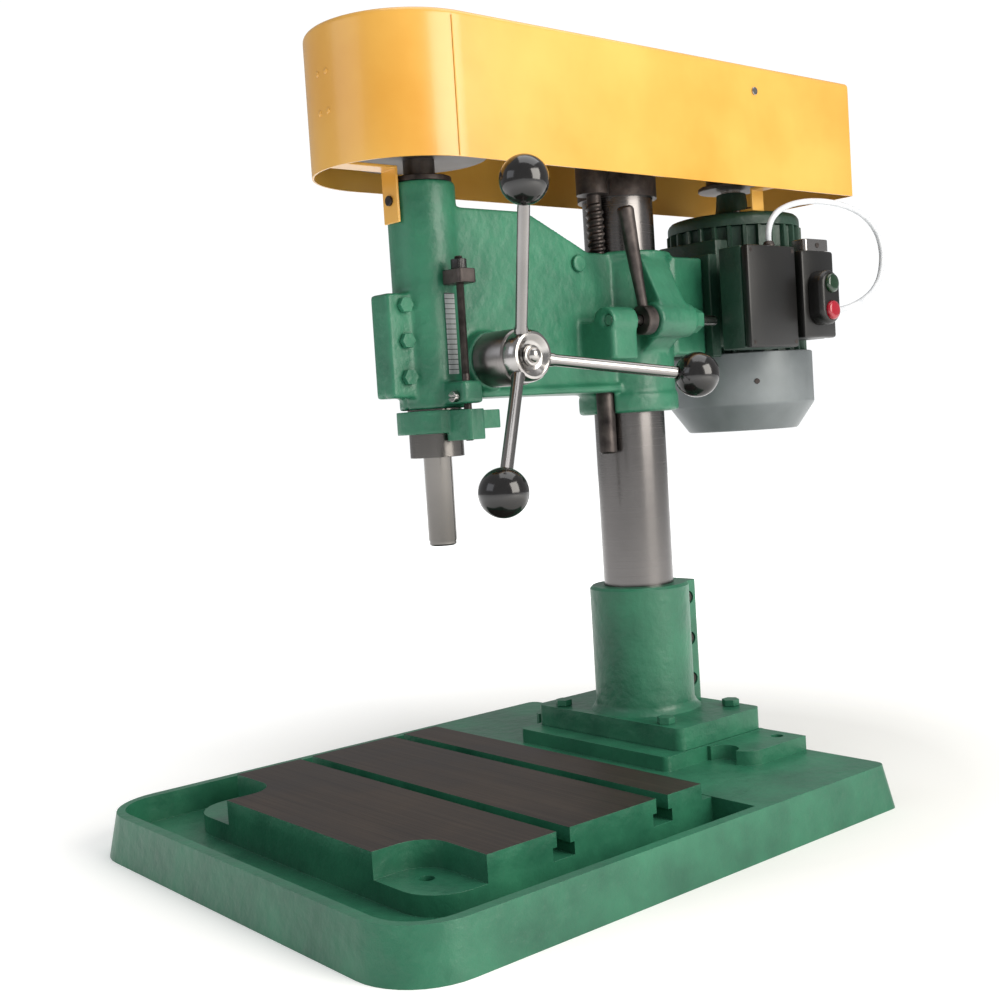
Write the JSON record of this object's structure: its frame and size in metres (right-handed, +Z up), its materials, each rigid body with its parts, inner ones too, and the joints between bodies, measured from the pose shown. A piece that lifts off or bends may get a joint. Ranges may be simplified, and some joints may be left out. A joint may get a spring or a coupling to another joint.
{
  "type": "bench drill press",
  "caption": "Bench drill press with a slotted cast base, round column, sliding head, geared quill feed with ball-knob handles, belt guard and upright motor.",
  "frame": {"origin": "on the column's axis, at the base's underside", "axes": "+X is the operator's right, +Y runs from the spindle to the column and motor, +Z is up"},
  "size_m": [0.57, 0.93, 0.815],
  "materials": {
    "green_enamel": "satin",
    "dark_green_enamel": "satin",
    "yellow_enamel": "semi-gloss",
    "grey_enamel": "satin",
    "ground_steel": "ground",
    "dark_steel": "oiled",
    "pulley_iron": "machined",
    "black_plastic": "gloss",
    "black_rubber": "matte",
    "red_plastic": "gloss",
    "green_plastic": "gloss",
    "pale_pvc": "matte"
  },
  "bodies": {
    "frame": {"base_casting": "green_enamel", "column_foot": "green_enamel", "foot_bolt_front_left": "dark_steel", "foot_bolt_front_right": "dark_steel", "foot_bolt_back_left": "dark_steel", "foot_bolt_back_right": "dark_steel", "foot_clamp_screw_1": "dark_steel", "foot_clamp_screw_2": "dark_steel", "foot_clamp_screw_3": "dark_steel", "column": "ground_steel", "column_cap": "dark_steel"},
    "head": {"head_casting": "green_enamel", "oil_plug": "green_enamel", "housing_clamp_bolt_1": "green_enamel", "housing_clamp_bolt_2": "green_enamel", "housing_clamp_bolt_3": "green_enamel", "lock_stud": "ground_steel", "lock_nut": "green_enamel", "spring_drum": "dark_steel", "housing_bearing": "dark_steel", "motor_plate": "dark_green_enamel", "motor_body": "dark_green_enamel", "motor_end_cover": "dark_green_enamel", "fan_cowl": "grey_enamel", "belt_guard": "yellow_enamel", "guard_strap_front": "yellow_enamel", "guard_bracket_rear": "yellow_enamel", "terminal_box": "dark_green_enamel", "terminal_lid": "black_plastic", "switch_box": "black_plastic", "switch_bezel": "black_plastic", "conduit_block": "grey_enamel", "loop_cable": "pale_pvc", "drive_belt": "black_rubber", "depth_scale": "pale_pvc", "guide_lug_screw": "ground_steel"},
    "height_screw": {"lift_screw": "dark_steel", "lift_screw_nut": "dark_steel"},
    "lever": {"lock_lever": "dark_steel"},
    "capstan": {"feed_pinion": "ground_steel", "capstan_hub": "dark_steel", "hub_nut": "ground_steel", "handle_rod_up": "ground_steel", "handle_rod_back": "ground_steel", "handle_rod_down": "ground_steel", "handle_knob_up": "black_plastic", "handle_knob_back": "black_plastic", "handle_knob_down": "black_plastic"},
    "quill_group": {"quill": "ground_steel", "depth_collar": "green_enamel", "depth_rod": "dark_steel", "depth_pointer": "dark_steel", "depth_nut": "black_plastic"},
    "drill_spindle": {"spindle": "ground_steel"},
    "front_pulley": {"spindle_pulley": "pulley_iron"},
    "rotor": {"rotor_shaft": "ground_steel", "motor_pulley": "pulley_iron", "motor_fan": "black_plastic"},
    "start_key": {"start_button": "green_plastic"},
    "stop_key": {"stop_button": "red_plastic"}
  },
  "joints": [
    {"name": "head_lift", "type": "slide", "parent": "frame", "child": "head", "axis": [0, 0, 1], "range_m": [-0.085, 0.055]},
    {"name": "height_screw_turn", "type": "hinge", "parent": "frame", "child": "height_screw", "pos_m": [0.016, -0.053, 0.5], "axis": [0, 0, 1], "range_deg": [-2476, 3826]},
    {"name": "quill_feed", "type": "slide", "parent": "head", "child": "quill_group", "axis": [0, 0, -1], "range_m": [0, 0.094], "stiffness_N_per_m": 350, "springref_m": -0.2},
    {"name": "capstan_turn", "type": "hinge", "parent": "head", "child": "capstan", "pos_m": [0, -0.238, 0.4883], "axis": [1, 0, 0], "range_deg": [0, 308]},
    {"name": "lock_lever_turn", "type": "hinge", "parent": "head", "child": "lever", "pos_m": [0.072, -0.042, 0.526], "axis": [0, 1, 0], "range_deg": [-10, 45]},
    {"name": "motor_spin", "type": "hinge", "parent": "head", "child": "rotor", "pos_m": [0, 0.201, 0.6], "axis": [0, 0, 1], "continuous": true},
    {"name": "front_pulley_spin", "type": "hinge", "parent": "head", "child": "front_pulley", "pos_m": [0, -0.281, 0.7], "axis": [0, 0, 1], "continuous": true},
    {"name": "spindle_spin", "type": "hinge", "parent": "quill_group", "child": "drill_spindle", "pos_m": [0, -0.281, 0.5], "axis": [0, 0, 1], "continuous": true},
    {"name": "start_press", "type": "slide", "parent": "head", "child": "start_key", "axis": [-1, 0, 0], "range_m": [0, 0.004], "stiffness_N_per_m": 300, "springref_m": -0.003},
    {"name": "stop_press", "type": "slide", "parent": "head", "child": "stop_key", "axis": [-1, 0, 0], "range_m": [0, 0.004], "stiffness_N_per_m": 300, "springref_m": -0.003}
  ],
  "couplings": [
    {"joint": "height_screw_turn", "follows": "head_lift", "rad_per_m": -785.4},
    {"joint": "capstan_turn", "follows": "quill_feed", "rad_per_m": 57.143},
    {"joint": "front_pulley_spin", "follows": "motor_spin", "ratio": 1.221},
    {"joint": "spindle_spin", "follows": "motor_spin", "ratio": 1.221}
  ]
}
